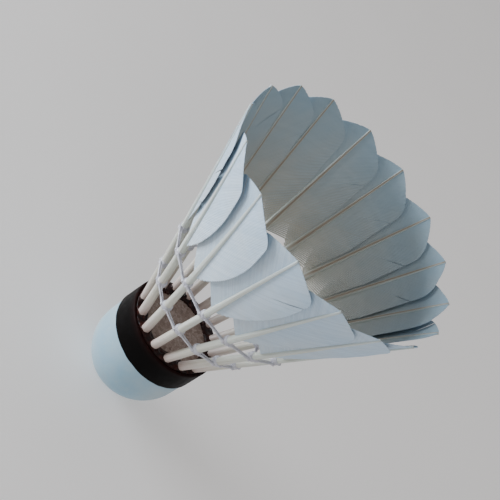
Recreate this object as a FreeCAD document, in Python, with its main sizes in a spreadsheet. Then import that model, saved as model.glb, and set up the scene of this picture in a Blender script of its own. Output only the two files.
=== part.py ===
import FreeCAD, Part
import math
import os
import Sketcher
from FreeCAD import Vector

# A feather shuttlecock: a cork head in a leather cover, with a band round its rim, and a skirt of
# feathers whose quills are glued into the cork and lashed by two rows of thread.
#
# Millimetres, +Z up. The origin is the tip of the cork's nose and +Z is the axis, so the head is
# at the bottom and the skirt opens upwards. Feather 01 leans over +X, and the others follow it
# anticlockwise, seen from above.

SIZES = (
    # the head
    ("cork_radius", 12.7, "cork under the leather, and the dome's radius"),
    ("head_height", 25.5, "tip of the nose to the cork's flat top"),
    ("socket_web", 3.0, "upper cork left under the quills' ends"),
    ("leather_wall", 0.4, "thickness of the cover"),
    ("band_width", 7.0, "height of the band on the side of the head"),
    ("band_wall", 0.2, "thickness of the band"),
    ("band_lip", 0.8, "width of the band folded over onto the head's top"),
    # the feathers
    ("feather_count", 16, "feathers in the skirt"),
    ("root_inset", 1.7, "cork's edge to the circle that the quills stand on"),
    ("tip_circle", 32.5, "radius of the circle through the feathers' tips"),
    ("shaft_length", 63.0, "shaft showing above the cork"),
    ("socket_depth", 9.0, "quill held in the cork"),
    ("quill_end_radius", 1.0, "quill at its inner end"),
    ("quill_radius", 1.15, "quill where it leaves the cork"),
    ("rachis_radius", 0.85, "shaft where the vane begins"),
    ("shaft_tip_radius", 0.35, "shaft at the feather's tip"),
    ("bare_quill", 28.5, "shaft from the cork's top to the vane"),
    ("outer_half", 9.0, "width of the half vane that lies over its neighbour"),
    ("inner_half", 8.8, "width of the half vane that lies under its neighbour"),
    ("outer_shoulder", 9.0, "tip to where the outer half reaches its full width"),
    ("inner_sweep", 14.5, "vane's foot to where the inner half reaches its full width"),
    ("outer_slope", 25.0, "degrees that the outer half's end falls back from square"),
    ("inner_slope", 31.0, "degrees that the inner half's end falls back from square"),
    ("vane_corner", 2.4, "rounding of the corners at the vane's end"),
    ("vane_wall", 0.25, "thickness of the vane"),
    ("vane_curl", 28.0, "radius of the vane across its width"),
    ("vane_twist", 5.5, "degrees that the vane is turned about its shaft"),
    # the lashing and the glue
    ("low_thread", 14.0, "lower row's height along the shaft"),
    ("high_thread", 26.0, "upper row's height along the shaft"),
    ("thread_radius", 0.3, "thread between two shafts, with its coat of glue"),
    ("winding_wall", 0.45, "thickness of the thread wound round a shaft, with its coat of glue"),
    ("winding_height", 1.2, "length of shaft that the windings cover"),
    ("glue_depth", 0.4, "glue on the cork's top"),
    ("glue_margin", 0.55, "glue ring's edge inside the quills"),
    ("fillet_height", 1.3, "glue drawn up each quill"),
    ("fillet_spread", 0.6, "glue drawn out round each quill"),
)

# Sizes that follow from the others, as expressions
LEATHER_RADIUS = "(sizes.cork_radius + sizes.leather_wall)"
BAND_RADIUS = "(sizes.cork_radius + sizes.leather_wall + sizes.band_wall)"
LIP_RADIUS = f"({BAND_RADIUS} - sizes.band_lip)"
ROOT_RADIUS = "(sizes.cork_radius - sizes.root_inset)"
LEAN = f"asin((sizes.tip_circle - {ROOT_RADIUS}) / sizes.shaft_length)"
SPLIT_HEIGHT = f"(sizes.head_height - sizes.socket_depth * cos({LEAN}) - sizes.socket_web)"
STEP_ANGLE = "(360 / sizes.feather_count)"

WORK_SPAN = 40.0  # larger than the head: the size of the cutting blanks

doc = FreeCAD.newDocument("shuttlecock")
sheet = doc.addObject("Spreadsheet::Sheet", "sizes")
for row, (alias, size, note) in enumerate(SIZES, start=1):
    sheet.set(f"A{row}", alias)
    sheet.set(f"B{row}", str(size))
    sheet.set(f"C{row}", note)
    sheet.setAlias(f"B{row}", alias)
doc.recompute()

COUNT = int(sheet.feather_count)
nodes = []


def value(expression):
    """The number that an expression of the sheet's sizes comes to."""
    result = sheet.evalExpression(expression)
    return float(getattr(result, "Value", result))


def keep(piece, name):
    """Label a finished sub-part, which becomes a node of that name."""
    piece.Label = name
    nodes.append(piece)
    return piece


def bind(thing, **expressions):
    """Tie an object's properties to the sheet."""
    for name, expression in expressions.items():
        thing.setExpression(name, expression)
    return thing


# ---------------------------------------------------------------- sketches


def arc_between(start, end, radius):
    """The short arc, anticlockwise from start to end."""
    chord = end - start
    rise = math.sqrt(radius**2 - (chord.Length / 2) ** 2)
    left = Vector(-chord.y, chord.x, 0).normalize()
    centre = (start + end) / 2 + left * rise
    first = math.atan2(start.y - centre.y, start.x - centre.x)
    last = math.atan2(end.y - centre.y, end.x - centre.x)
    return Part.ArcOfCircle(Part.Circle(centre, Vector(0, 0, 1), radius), first, last)


def draw_outline(sketch, corners, arcs=None, hollows=None):
    """Draw a closed outline, anticlockwise, with its corners and its arcs' radii bound to the sheet.

    corners holds pairs of expressions. arcs and hollows map the number of the corner that an arc
    starts at to its radius: an arc bulges out of the outline and a hollow bulges into it. Every
    other side is straight.
    """
    arcs = arcs or {}
    hollows = hollows or {}
    points = [Vector(value(across), value(up), 0) for across, up in corners]
    for side, start in enumerate(points):
        end = points[(side + 1) % len(points)]
        if side in arcs:
            edge = arc_between(start, end, value(arcs[side]))
        elif side in hollows:
            edge = arc_between(end, start, value(hollows[side]))
        else:
            edge = Part.LineSegment(start, end)
        sketch.addGeometry(edge, False)

    first_end = [2 if side in hollows else 1 for side in range(len(corners))]
    for side, (across, up) in enumerate(corners):
        before = (side - 1) % len(corners)
        meet = Sketcher.Constraint("Coincident", before, 3 - first_end[before], side, first_end[side])
        sketch.addConstraint(meet)
        pin_down(sketch, "DistanceX", side, first_end[side], across)
        pin_down(sketch, "DistanceY", side, first_end[side], up)
    for side, radius in {**arcs, **hollows}.items():
        number = sketch.addConstraint(Sketcher.Constraint("Radius", side, value(radius)))
        name_and_bind(sketch, number, f"radius_{side}", radius)


def pin_down(sketch, kind, side, end, expression):
    """Hold one end of a side at a distance from the sketch's origin."""
    if expression == "0":
        axis = -2 if kind == "DistanceX" else -1
        sketch.addConstraint(Sketcher.Constraint("PointOnObject", side, end, axis))
        return
    number = sketch.addConstraint(Sketcher.Constraint(kind, -1, 1, side, end, value(expression)))
    name_and_bind(sketch, number, f"{kind}_{side}", expression)


def name_and_bind(sketch, number, name, expression):
    sketch.renameConstraint(number, name)
    sketch.setExpression(f"Constraints.{name}", expression)


def turned_body(name, corners, arcs=None, hollows=None):
    """A body of revolution about Z. The corners are (radius, height) pairs."""
    body = doc.addObject("PartDesign::Body", name)
    plane = next(item for item in body.Origin.OriginFeatures if item.Role == "XZ_Plane")
    sketch = body.newObject("Sketcher::SketchObject", f"{name}_profile")
    sketch.AttachmentSupport = [(plane, "")]
    sketch.MapMode = "FlatFace"
    draw_outline(sketch, corners, arcs, hollows)
    turn = body.newObject("PartDesign::Revolution", f"{name}_turn")
    turn.Profile = sketch
    turn.ReferenceAxis = (sketch, ["V_Axis"])
    turn.Angle = 360
    return body


# ---------------------------------------------------------------- booleans and copies


def cylinder(name, radius, height, base):
    blank = doc.addObject("Part::Cylinder", name)
    bind(blank, Radius=radius, Height=height)
    blank.setExpression("Placement.Base.z", base)
    return blank


def combine(kind, name, base, tool):
    """Part::Cut, Part::Common or Part::Fuse of two objects."""
    result = doc.addObject(kind, name)
    result.Base = base
    result.Tool = tool
    return result


def group(name, members):
    bundle = doc.addObject("Part::Compound", name)
    bundle.Links = members
    return bundle


def turn_about_axis(number):
    """Placement of the copy with that number round the shuttle's axis."""
    return f"placement(vector(0; 0; 0); rotation(vector(0; 0; 1); {number} * {STEP_ANGLE}))"


def stand_on_cork():
    """Placement that takes a feather's own frame to its socket.

    In a feather's frame Z runs along the shaft from the cork's top, X points out of the skirt and
    Y towards the next feather.
    """
    foot = f"vector({ROOT_RADIUS}; 0; sizes.head_height)"
    return f"placement({foot}; rotation(vector(0; 1; 0); {LEAN}))"


def copies_round(master, name, in_feather_frame):
    """One copy of the master for each feather, placed by the sheet."""
    copies = []
    for number in range(COUNT):
        copy = group(f"{name}_{number + 1:02d}", [master])
        place = turn_about_axis(number)
        if in_feather_frame:
            place = f"{place} * {stand_on_cork()}"
        bind(copy, Placement=place)
        copies.append(copy)
    return copies


# ---------------------------------------------------------------- feathers


def feather_shaft():
    """Quill and rachis in one taper, from its inner end in the cork to the feather's tip."""
    corners = [
        ("0", "-sizes.socket_depth"),
        ("sizes.quill_end_radius", "-sizes.socket_depth"),
        ("sizes.quill_radius", "0"),
        ("sizes.rachis_radius", "sizes.bare_quill"),
        ("sizes.shaft_tip_radius", "sizes.shaft_length"),
        ("0", "sizes.shaft_length"),
    ]
    return turned_body("shaft", corners)


def half_outline(half, sweep, slope, sign):
    """Corners of one half vane, from its foot to the start of its sloping end.

    The edge sweeps out from the shaft in an arc, runs straight from the shoulder, and turns into
    the sloping end by a rounded corner. Each corner is a (width, height) pair.
    """
    turn_in = f"(sizes.vane_corner * tan((90 - {slope}) / 2))"
    corner_height = f"(sizes.shaft_length - {half} * tan({slope}))"
    return [
        (f"{sign}{half}", f"sizes.bare_quill + {sweep}"),
        (f"{sign}{half}", f"{corner_height} - {turn_in}"),
        (f"{sign}({half} - {turn_in} * cos({slope}))", f"{corner_height} + {turn_in} * sin({slope})"),
    ]


def sweep_radius(half, sweep):
    """Radius of the arc from the vane's foot that meets the straight edge in line with it."""
    return f"(({sweep} * {sweep} + {half} * {half}) / (2 * {half}))"


def vane_outline():
    """The whole vane's outline, drawn flat across the shaft."""
    sketch = doc.addObject("Sketcher::SketchObject", "vane_outline")
    outer_sweep = "(sizes.shaft_length - sizes.outer_shoulder - sizes.bare_quill)"
    outer = half_outline("sizes.outer_half", outer_sweep, "sizes.outer_slope", "")
    inner = half_outline("sizes.inner_half", "sizes.inner_sweep", "sizes.inner_slope", "-")
    corners = [("0", "sizes.bare_quill"), *outer, ("0", "sizes.shaft_length"), *reversed(inner)]
    arcs = {
        0: sweep_radius("sizes.outer_half", outer_sweep),
        2: "sizes.vane_corner",
        5: "sizes.vane_corner",
        7: sweep_radius("sizes.inner_half", "sizes.inner_sweep"),
    }
    draw_outline(sketch, corners, arcs)
    # The sketch's X runs along the feather's Y, and its Y along the shaft
    sketch.Placement.Rotation = FreeCAD.Rotation(Vector(1, 1, 1), 120)
    return sketch


def vane_curl():
    """A thin wall curled about a line inside the skirt, which gives the vane its hollow."""
    walls = []
    for side in ("+", "-"):
        wall = cylinder(
            "curl_wall",
            f"sizes.vane_curl {side} sizes.vane_wall / 2",
            "sizes.shaft_length",
            "0",
        )
        wall.setExpression("Placement.Base.x", "-sizes.vane_curl * cos(sizes.vane_twist)")
        wall.setExpression("Placement.Base.y", "sizes.vane_curl * sin(sizes.vane_twist)")
        walls.append(wall)
    return combine("Part::Cut", "curl", *walls)


def feather_vane(shaft):
    """Both half vanes of a feather, parted by the shaft that they grow from."""
    flat = doc.addObject("Part::Extrusion", "vane_blank")
    flat.Base = vane_outline()
    flat.DirMode = "Custom"
    flat.Dir = Vector(1, 0, 0)
    flat.Solid = True
    bind(flat, LengthFwd="sizes.outer_half", LengthRev="sizes.outer_half")
    blade = combine("Part::Common", "vane_blade", flat, vane_curl())
    return combine("Part::Cut", "vane", blade, shaft)


# ---------------------------------------------------------------- lashing and glue


def shaft_radius_at(height):
    taper = "(sizes.quill_radius - sizes.rachis_radius) / sizes.bare_quill"
    return f"(sizes.quill_radius - {taper} * {height})"


def thread_row(name, height, shafts):
    """One row of thread: wound round each shaft, and straight from each shaft to the next."""
    winding = doc.addObject("Part::Cylinder", f"{name}_winding")
    bind(winding, Radius=f"{shaft_radius_at(height)} + sizes.winding_wall", Height="sizes.winding_height")
    winding.setExpression("Placement.Base.z", f"{height} - sizes.winding_height / 2")

    reach = f"({shaft_radius_at(height)} + sizes.winding_wall / 2)"
    out = f"({ROOT_RADIUS} + {height} * sin({LEAN}) + {reach} * cos({LEAN}))"
    up = f"(sizes.head_height + {height} * cos({LEAN}) - {reach} * sin({LEAN}))"
    heading = f"rotation(vector(0; 0; 1); 90 + {STEP_ANGLE} / 2) * rotation(vector(0; 1; 0); 90)"
    span = doc.addObject("Part::Cylinder", f"{name}_span")
    bind(
        span,
        Radius="sizes.thread_radius",
        Height=f"2 * {out} * sin({STEP_ANGLE} / 2)",
        Placement=f"placement(vector({out}; 0; {up}); {heading})",
    )
    windings = copies_round(winding, f"{name}_winding", True)
    spans = copies_round(span, f"{name}_span", False)
    row = doc.addObject("Part::MultiFuse", f"{name}_row")
    row.Shapes = windings + spans
    return combine("Part::Cut", name, row, shafts)


def root_glue(shafts):
    """Glue on the cork's top between the band's lip and the quills, drawn up round each quill."""
    disc = cylinder("glue_disc", LIP_RADIUS, "sizes.glue_depth", "sizes.head_height")
    eye_radius = f"{ROOT_RADIUS} - sizes.quill_radius - sizes.glue_margin"
    eye = cylinder("glue_eye", eye_radius, "sizes.glue_depth", "sizes.head_height")
    ring = combine("Part::Cut", "glue_ring", disc, eye)

    fillet = doc.addObject("Part::Cone", "glue_fillet")
    bind(
        fillet,
        Radius1="sizes.quill_radius + sizes.fillet_spread",
        Radius2=shaft_radius_at("sizes.fillet_height") + " * 0.98",
        Height="sizes.fillet_height + sizes.glue_depth",
    )
    fillet.setExpression("Placement.Base.z", "-sizes.glue_depth")
    pool = doc.addObject("Part::MultiFuse", "glue_pool")
    pool.Shapes = [ring] + copies_round(fillet, "glue_fillet", True)

    room = cylinder("glue_room", LIP_RADIUS, str(WORK_SPAN), "sizes.head_height")
    above_cork = combine("Part::Common", "glue_above_cork", pool, room)
    return combine("Part::Cut", "glue", above_cork, shafts)


# ---------------------------------------------------------------- head


def cork_head():
    """The whole cork: a dome of the cork's own radius under a straight side."""
    corners = [
        ("0", "sizes.leather_wall"),
        ("sizes.cork_radius", LEATHER_RADIUS),
        ("sizes.cork_radius", "sizes.head_height"),
        ("0", "sizes.head_height"),
    ]
    return turned_body("cork", corners, {0: "sizes.cork_radius"})


def leather_cover():
    """Thin cup round the dome and the side of the cork, open at the top."""
    corners = [
        ("0", "0"),
        (LEATHER_RADIUS, LEATHER_RADIUS),
        (LEATHER_RADIUS, "sizes.head_height"),
        ("sizes.cork_radius", "sizes.head_height"),
        ("sizes.cork_radius", LEATHER_RADIUS),
        ("0", "sizes.leather_wall"),
    ]
    return turned_body("leather", corners, {0: LEATHER_RADIUS}, {4: "sizes.cork_radius"})


def rim_band():
    """Band round the top of the leather, with its upper edge folded in over the rim."""
    corners = [
        (LEATHER_RADIUS, "sizes.head_height - sizes.band_width"),
        (BAND_RADIUS, "sizes.head_height - sizes.band_width"),
        (BAND_RADIUS, "sizes.head_height + sizes.band_wall"),
        (LIP_RADIUS, "sizes.head_height + sizes.band_wall"),
        (LIP_RADIUS, "sizes.head_height"),
        (LEATHER_RADIUS, "sizes.head_height"),
    ]
    return turned_body("band", corners)


# ---------------------------------------------------------------- assembly

shaft = feather_shaft()
vane = feather_vane(shaft)
shaft_copies = copies_round(shaft, "feather_shaft", True)
vane_copies = copies_round(vane, "feather_vane", True)
all_shafts = group("all_shafts", shaft_copies)

cork = cork_head()
nose_blank = cylinder("nose_blank", str(WORK_SPAN), SPLIT_HEIGHT, "0")
keep(combine("Part::Common", "nose", cork, nose_blank), "cork_nose")
collar = combine("Part::Cut", "collar", cork, nose_blank)
keep(combine("Part::Cut", "collar_with_sockets", collar, all_shafts), "cork_collar")
keep(leather_cover(), "leather_cover")
keep(combine("Part::Cut", "notched_band", rim_band(), all_shafts), "rim_band")
keep(root_glue(all_shafts), "root_glue")
keep(thread_row("low_row", "sizes.low_thread", all_shafts), "lower_thread")
keep(thread_row("high_row", "sizes.high_thread", all_shafts), "upper_thread")
for number in range(COUNT):
    keep(shaft_copies[number], f"feather_shaft_{number + 1:02d}")
    keep(vane_copies[number], f"feather_vane_{number + 1:02d}")

doc.recompute()

for thing in doc.Objects:
    if "Invalid" in thing.State or "Error" in thing.State:
        raise RuntimeError(f"{thing.Label} did not recompute: {thing.State}")
for node in nodes:
    if node.Shape.isNull() or not node.Shape.isValid() or not node.Shape.Solids:
        raise RuntimeError(f"{node.Label} has no sound solid")

os.makedirs("parts", exist_ok=True)
for node in nodes:
    node.Shape.exportStep(f"parts/{node.Label}.step")
    print(f"{node.Label}: {len(node.Shape.Solids)} solids, {node.Shape.Volume:.1f} mm3")
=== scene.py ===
# %% [markdown]
# # A feather shuttlecock
# A real shuttlecock is a cork head in a thin leather cover, with sixteen feathers glued into its
# top. The design model fixes where everything is, so this lesson starts by loading it. Each piece
# is then made again with the detail that the eye looks for, in the place that the design gives it.

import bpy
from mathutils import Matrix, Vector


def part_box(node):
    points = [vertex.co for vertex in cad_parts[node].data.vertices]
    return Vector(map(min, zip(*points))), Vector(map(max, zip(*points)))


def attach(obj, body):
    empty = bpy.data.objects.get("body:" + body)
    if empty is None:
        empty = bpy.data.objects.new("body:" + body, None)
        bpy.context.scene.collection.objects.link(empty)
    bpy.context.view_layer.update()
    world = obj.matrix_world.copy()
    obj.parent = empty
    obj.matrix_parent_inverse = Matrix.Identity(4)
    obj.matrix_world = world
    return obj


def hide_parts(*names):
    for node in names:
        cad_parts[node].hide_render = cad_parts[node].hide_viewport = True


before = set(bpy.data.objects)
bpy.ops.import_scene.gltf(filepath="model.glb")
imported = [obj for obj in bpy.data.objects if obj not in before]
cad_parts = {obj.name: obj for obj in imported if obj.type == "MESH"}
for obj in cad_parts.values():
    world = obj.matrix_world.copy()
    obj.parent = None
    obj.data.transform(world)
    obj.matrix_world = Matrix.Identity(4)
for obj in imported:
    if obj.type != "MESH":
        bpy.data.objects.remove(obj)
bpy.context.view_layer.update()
print("design nodes:", len(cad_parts))

# %% Tools for the whole lesson
import math
import random

import bmesh
import bpy
import numpy as np
from mathutils import Euler, Matrix, Vector, noise

MM = 0.001
BODY = "root"
print("every piece rides on", BODY)

# %% [markdown]
# ## Sizes
# A few sizes drive every piece. The head's come from the design's own boxes. The feathers stand on
# a small circle and lean out to a large one, and that lean follows from the two circles and the
# shaft's length, as it does in the design.

# %% Sizes of the head and of the feathers
leather_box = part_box("leather_cover")
band_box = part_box("rim_band")
cork_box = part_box("cork_collar")

HEAD_TOP = leather_box[1].z
LEATHER_RADIUS = leather_box[1].x
CORK_RADIUS = cork_box[1].x
BAND_RADIUS = band_box[1].x
BAND_BOTTOM = band_box[0].z
BAND_TOP = band_box[1].z
LEATHER_WALL = LEATHER_RADIUS - CORK_RADIUS

FEATHERS = sum(1 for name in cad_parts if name.startswith("feather_shaft_"))
ROOT_CIRCLE = 11.0 * MM
TIP_CIRCLE = 32.5 * MM
SHAFT_LENGTH = 63.0 * MM
SOCKET_DEPTH = 9.0 * MM
BARE_QUILL = 28.5 * MM
LEAN = math.asin((TIP_CIRCLE - ROOT_CIRCLE) / SHAFT_LENGTH)
STEP = 2 * math.pi / FEATHERS
print(f"{FEATHERS} feathers lean out by {math.degrees(LEAN):.1f} degrees")

# %% [markdown]
# ## Helpers
# Most pieces are built as plain lists of points and faces. `finish_piece` then rides the piece on the
# shuttlecock's one body, hides the design's nodes that it stands for and gives it its finish.

# %% Turn points and faces into a finished piece
def add_to_scene(name, data):
    """An object of the scene that shows a mesh, a curve, a light or a camera."""
    thing = bpy.data.objects.new(name, data)
    bpy.context.scene.collection.objects.link(thing)
    return thing


def new_object(name, points, faces, smooth=True):
    """A mesh object at the origin, with its faces turned outwards."""
    mesh = bpy.data.meshes.new(name)
    mesh.from_pydata([tuple(p) for p in points], [], faces)
    shape = bmesh.new()
    shape.from_mesh(mesh)
    bmesh.ops.recalc_face_normals(shape, faces=shape.faces)
    shape.to_mesh(mesh)
    shape.free()
    mesh.polygons.foreach_set("use_smooth", [smooth] * len(mesh.polygons))
    return add_to_scene(name, mesh)


def finish_piece(piece, slot, material, *nodes):
    """Say what a finished piece rides on, what it stands for and what it is made of."""
    piece.data.materials.clear()
    piece.data.materials.append(material)
    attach(piece, BODY)
    if nodes:
        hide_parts(*nodes)
    print(f"{piece.name}: {len(piece.data.polygons)} faces")
    return piece


def ring_faces(rings, sides, closed_rings=False):
    """Faces between rings of points that were listed one ring after another."""
    last = rings if closed_rings else rings - 1
    faces = []
    for ring in range(last):
        here = ring * sides
        there = (ring + 1) % rings * sides
        for side in range(sides):
            after = (side + 1) % sides
            faces.append((here + side, here + after, there + after, there + side))
    return faces


def tube_faces(rings, sides):
    """Faces of a closed tube: its wall, and one face over each end."""
    end = rings * sides
    return ring_faces(rings, sides) + [tuple(range(sides)), tuple(range(end - sides, end))]


def outward(angle):
    """A level vector, 1 long, that points away from the axis."""
    return Vector((math.cos(angle), math.sin(angle), 0))


# %% Read and write numbers at a mesh's points
def point_places(piece):
    """The places of a mesh's points, one row each."""
    places = np.empty(len(piece.data.vertices) * 3)
    piece.data.vertices.foreach_get("co", places)
    return places.reshape(-1, 3)


def store(piece, **attributes):
    """Give each point of a mesh a number for each attribute."""
    for name, numbers in attributes.items():
        piece.data.attributes.new(name, "FLOAT", "POINT").data.foreach_set("value", numbers)


# %% [markdown]
# ## Where a feather stands
# Each feather is made in its own frame: Z runs up the shaft from the cork's top, X points out of
# the skirt and Y towards the next feather. One matrix then takes it to its socket.
#
# A shuttlecock that has been played with is no longer quite even. Its feathers bow in or out and
# sway round the skirt by a millimetre or so at the tip, which is less than they overlap. Neighbours
# differ little in bow, because one lies on the other.

# %% Place and bend a feather
BOW = [-0.3, 0.0, 0.35, 0.1, -0.4, -0.6, -0.6, -0.3, 0.0, 0.3, 0.2, -0.2, 0.1, 0.4, 0.3, -0.1]
SWAY = [0.4, 1.0, 0.0, -1.4, -1.4, -1.3, -0.7, -0.7, 0.0, -0.2, 0.2, -0.5, -1.2, -1.6, -2.2, -2.0]


def socket_matrix(number):
    """From a feather's own frame to its socket in the cork."""
    turn = Matrix.Rotation(number * STEP, 4, "Z")
    foot = Matrix.Translation((ROOT_CIRCLE, 0, HEAD_TOP))
    return turn @ foot @ Matrix.Rotation(LEAN, 4, "Y")


def bent_and_placed(points, number):
    """Bend points of a feather's frame, more the further up they are, and take them to its socket."""
    feather = number % FEATHERS
    points = np.array(points, dtype=float)
    rise = np.clip(points[:, 2] / SHAFT_LENGTH, 0, None) ** 2
    points[:, 0] += BOW[feather] * MM * rise
    matrix = np.array(socket_matrix(number))
    points = points @ matrix[:3, :3].T + matrix[:3, 3]
    turn = SWAY[feather] * MM * rise / TIP_CIRCLE
    x = points[:, 0] * np.cos(turn) - points[:, 1] * np.sin(turn)
    y = points[:, 0] * np.sin(turn) + points[:, 1] * np.cos(turn)
    return np.column_stack((x, y, points[:, 2]))


def place_feather_part(piece, number):
    """Bend a feather's part and stand it in its socket, by moving its points."""
    points = bent_and_placed(point_places(piece), number)
    piece.data.vertices.foreach_set("co", points.ravel())
    piece.data.update()


print(f"feathers bow by up to {max(map(abs, BOW))} mm and sway by up to {max(map(abs, SWAY))} mm")


# %% [markdown]
# ## Materials
# Every finish is a small tree of nodes round one shader. These helpers add the nodes that nearly
# all of them need: a coordinate, a noise, a colour ramp and a bump.

# %% Helpers for materials
def new_material(name, roughness, **plain):
    """A material with one Principled shader. plain sets other sockets of the shader."""
    material = bpy.data.materials.new(name)
    material.use_nodes = True
    shader = material.node_tree.nodes["Principled BSDF"]
    shader.inputs["Roughness"].default_value = roughness
    for socket, setting in plain.items():
        shader.inputs[socket.replace("_", " ")].default_value = setting
    return material, material.node_tree, shader


def add_node(tree, kind, settings=None, **values):
    """A node with its settings, and with values or links for its inputs.

    An input is given by its name, or by i and its number, such as i0.
    """
    node = tree.nodes.new(kind)
    for name, setting in (settings or {}).items():
        setattr(node, name, setting)
    for name, given in values.items():
        key = int(name[1:]) if name[1:].isdigit() else name.replace("_", " ")
        socket = node.inputs[key]
        if isinstance(given, bpy.types.NodeSocket):
            tree.links.new(given, socket)
        else:
            socket.default_value = given
    return node


def combine(tree, **parts):
    """A vector put together from X, Y and Z."""
    return add_node(tree, "ShaderNodeCombineXYZ", **parts).outputs["Vector"]


def separate(tree, vector, axis):
    """One part of a vector."""
    return add_node(tree, "ShaderNodeSeparateXYZ", Vector=vector).outputs[axis]


# %% Patterns, colours and bumps
def object_place(tree, stretch=(1, 1, 1)):
    """Object coordinates in millimetres, stretched so that a pattern can be long one way."""
    place = add_node(tree, "ShaderNodeTexCoord").outputs["Object"]
    scale = [side / MM for side in stretch]
    return add_node(tree, "ShaderNodeMapping", Vector=place, Scale=scale).outputs["Vector"]


def noise_value(tree, place, size, detail=3.0):
    """Noise with patches of about the given size, in the coordinate's own units."""
    node = add_node(tree, "ShaderNodeTexNoise", Vector=place, Scale=1 / size, Detail=detail)
    return node.outputs["Fac"]


def ramp(tree, value, *stops):
    """A colour ramp. Each stop is a position and a colour."""
    node = add_node(tree, "ShaderNodeValToRGB", Fac=value)
    elements = node.color_ramp.elements
    while len(elements) < len(stops):
        elements.new(0.5)
    for element, (position, colour) in zip(elements, stops):
        element.position = position
        element.color = (*colour, 1)
    return node.outputs["Color"]


def math_node(tree, operation, *values):
    """A Math node on numbers or links."""
    given = {f"i{number}": value for number, value in enumerate(values)}
    return add_node(tree, "ShaderNodeMath", {"operation": operation}, **given).outputs[0]


def mix_colours(tree, factor, first, second, blend="MIX"):
    """Mix two colours, each a link or plain numbers."""
    node = tree.nodes.new("ShaderNodeMix")
    node.data_type = "RGBA"
    node.blend_type = blend
    for number, given in ((0, factor), (6, first), (7, second)):
        if isinstance(given, bpy.types.NodeSocket):
            tree.links.new(given, node.inputs[number])
        else:
            colour = isinstance(given, tuple)
            node.inputs[number].default_value = (*given, 1) if colour else given
    return node.outputs[2]


def add_bump(tree, shader, height, depth, strength=1.0):
    """Raise the surface by up to depth where height is 1."""
    bump = add_node(tree, "ShaderNodeBump", Height=height, Distance=depth, Strength=strength)
    tree.links.new(bump.outputs["Normal"], shader.inputs["Normal"])


# %% [markdown]
# ### Leather, band, cork and glue
# The cover is thin white kid leather. It has a fine pebbled grain, and shows faint cloudy patches
# where hands have held it. The band is a dark, slightly glossy tape, and wears to a red-brown at
# the rim where it is folded in. The cork is pressed from crumbs, so it is a mosaic of cells.

# %% Finishes of the leather and the band
def leather_finish():
    """Pale kid leather: cloudy, a little soiled, and finely pebbled."""
    material, tree, shader = new_material("kid_leather", 0.46, Specular_IOR_Level=0.4)
    place = object_place(tree)
    clouds = noise_value(tree, place, 9.0, 4.0)
    colour = ramp(tree, clouds, (0.3, (0.27, 0.45, 0.58)), (0.7, (0.41, 0.52, 0.58)))
    soil = noise_value(tree, place, 1.6, 5.0)
    worn = ramp(tree, soil, (0.60, (0, 0, 0)), (0.80, (0.35, 0.35, 0.35)))
    colour = mix_colours(tree, worn, colour, (0.52, 0.57, 0.57))
    tree.links.new(colour, shader.inputs["Base Color"])
    pebble = add_node(tree, "ShaderNodeTexVoronoi", {"feature": "F1"}, Vector=place, Scale=3.2)
    fine = noise_value(tree, place, 0.35, 4.0)
    grain = math_node(tree, "ADD", pebble.outputs["Distance"], fine)
    add_bump(tree, shader, grain, 0.035 * MM, 0.6)
    rough = math_node(tree, "MULTIPLY_ADD", soil, 0.25, 0.36)
    tree.links.new(rough, shader.inputs["Roughness"])
    return material


def band_finish():
    """Dark tape that turns red-brown as it nears the rim."""
    material, tree, shader = new_material("band_tape", 0.5, Specular_IOR_Level=0.05)
    place = object_place(tree)
    patches = noise_value(tree, place, 1.4, 4.0)
    height = math_node(tree, "MULTIPLY_ADD", patches, 1.6, separate(tree, place, "Z"))
    rim = HEAD_TOP / MM
    start = add_node(tree, "ShaderNodeMapRange", Value=height, From_Min=rim - 1.2, From_Max=rim + 1.3)
    colour = ramp(
        tree,
        start.outputs["Result"],
        (0.0, (0.002, 0.0014, 0.0014)),
        (0.62, (0.006, 0.0022, 0.0022)),
        (1.0, (0.014, 0.004, 0.0035)),
    )
    tree.links.new(colour, shader.inputs["Base Color"])
    weave = noise_value(tree, object_place(tree, (1, 1, 3)), 0.22, 3.0)
    add_bump(tree, shader, weave, 0.02 * MM, 0.5)
    rough = math_node(tree, "MULTIPLY_ADD", patches, 0.3, 0.35)
    tree.links.new(rough, shader.inputs["Roughness"])
    return material


LEATHER = leather_finish()
BAND = band_finish()
print("finishes:", LEATHER.name, BAND.name)


# %% Finishes of the cork and the glue
def cork_finish():
    """Crumbs of cork, each with a shade of its own, parted by dark seams."""
    material, tree, shader = new_material("pressed_cork", 0.85)
    place = object_place(tree)
    crumbs = add_node(tree, "ShaderNodeTexVoronoi", {"feature": "F1"}, Vector=place, Scale=1.4)
    shade = add_node(tree, "ShaderNodeSeparateColor", Color=crumbs.outputs["Color"]).outputs["Red"]
    colour = ramp(
        tree,
        shade,
        (0.0, (0.22, 0.155, 0.13)),
        (0.3, (0.29, 0.215, 0.185)),
        (1.0, (0.37, 0.29, 0.255)),
    )
    edges = {"feature": "DISTANCE_TO_EDGE"}
    seams = add_node(tree, "ShaderNodeTexVoronoi", edges, Vector=place, Scale=1.4)
    seam = ramp(tree, seams.outputs["Distance"], (0.0, (0.7, 0.7, 0.7)), (0.07, (0, 0, 0)))
    colour = mix_colours(tree, seam, colour, (0.13, 0.08, 0.06))
    tree.links.new(colour, shader.inputs["Base Color"])
    pits = noise_value(tree, place, 0.3, 4.0)
    add_bump(tree, shader, pits, 0.15 * MM, 0.6)
    return material


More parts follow.
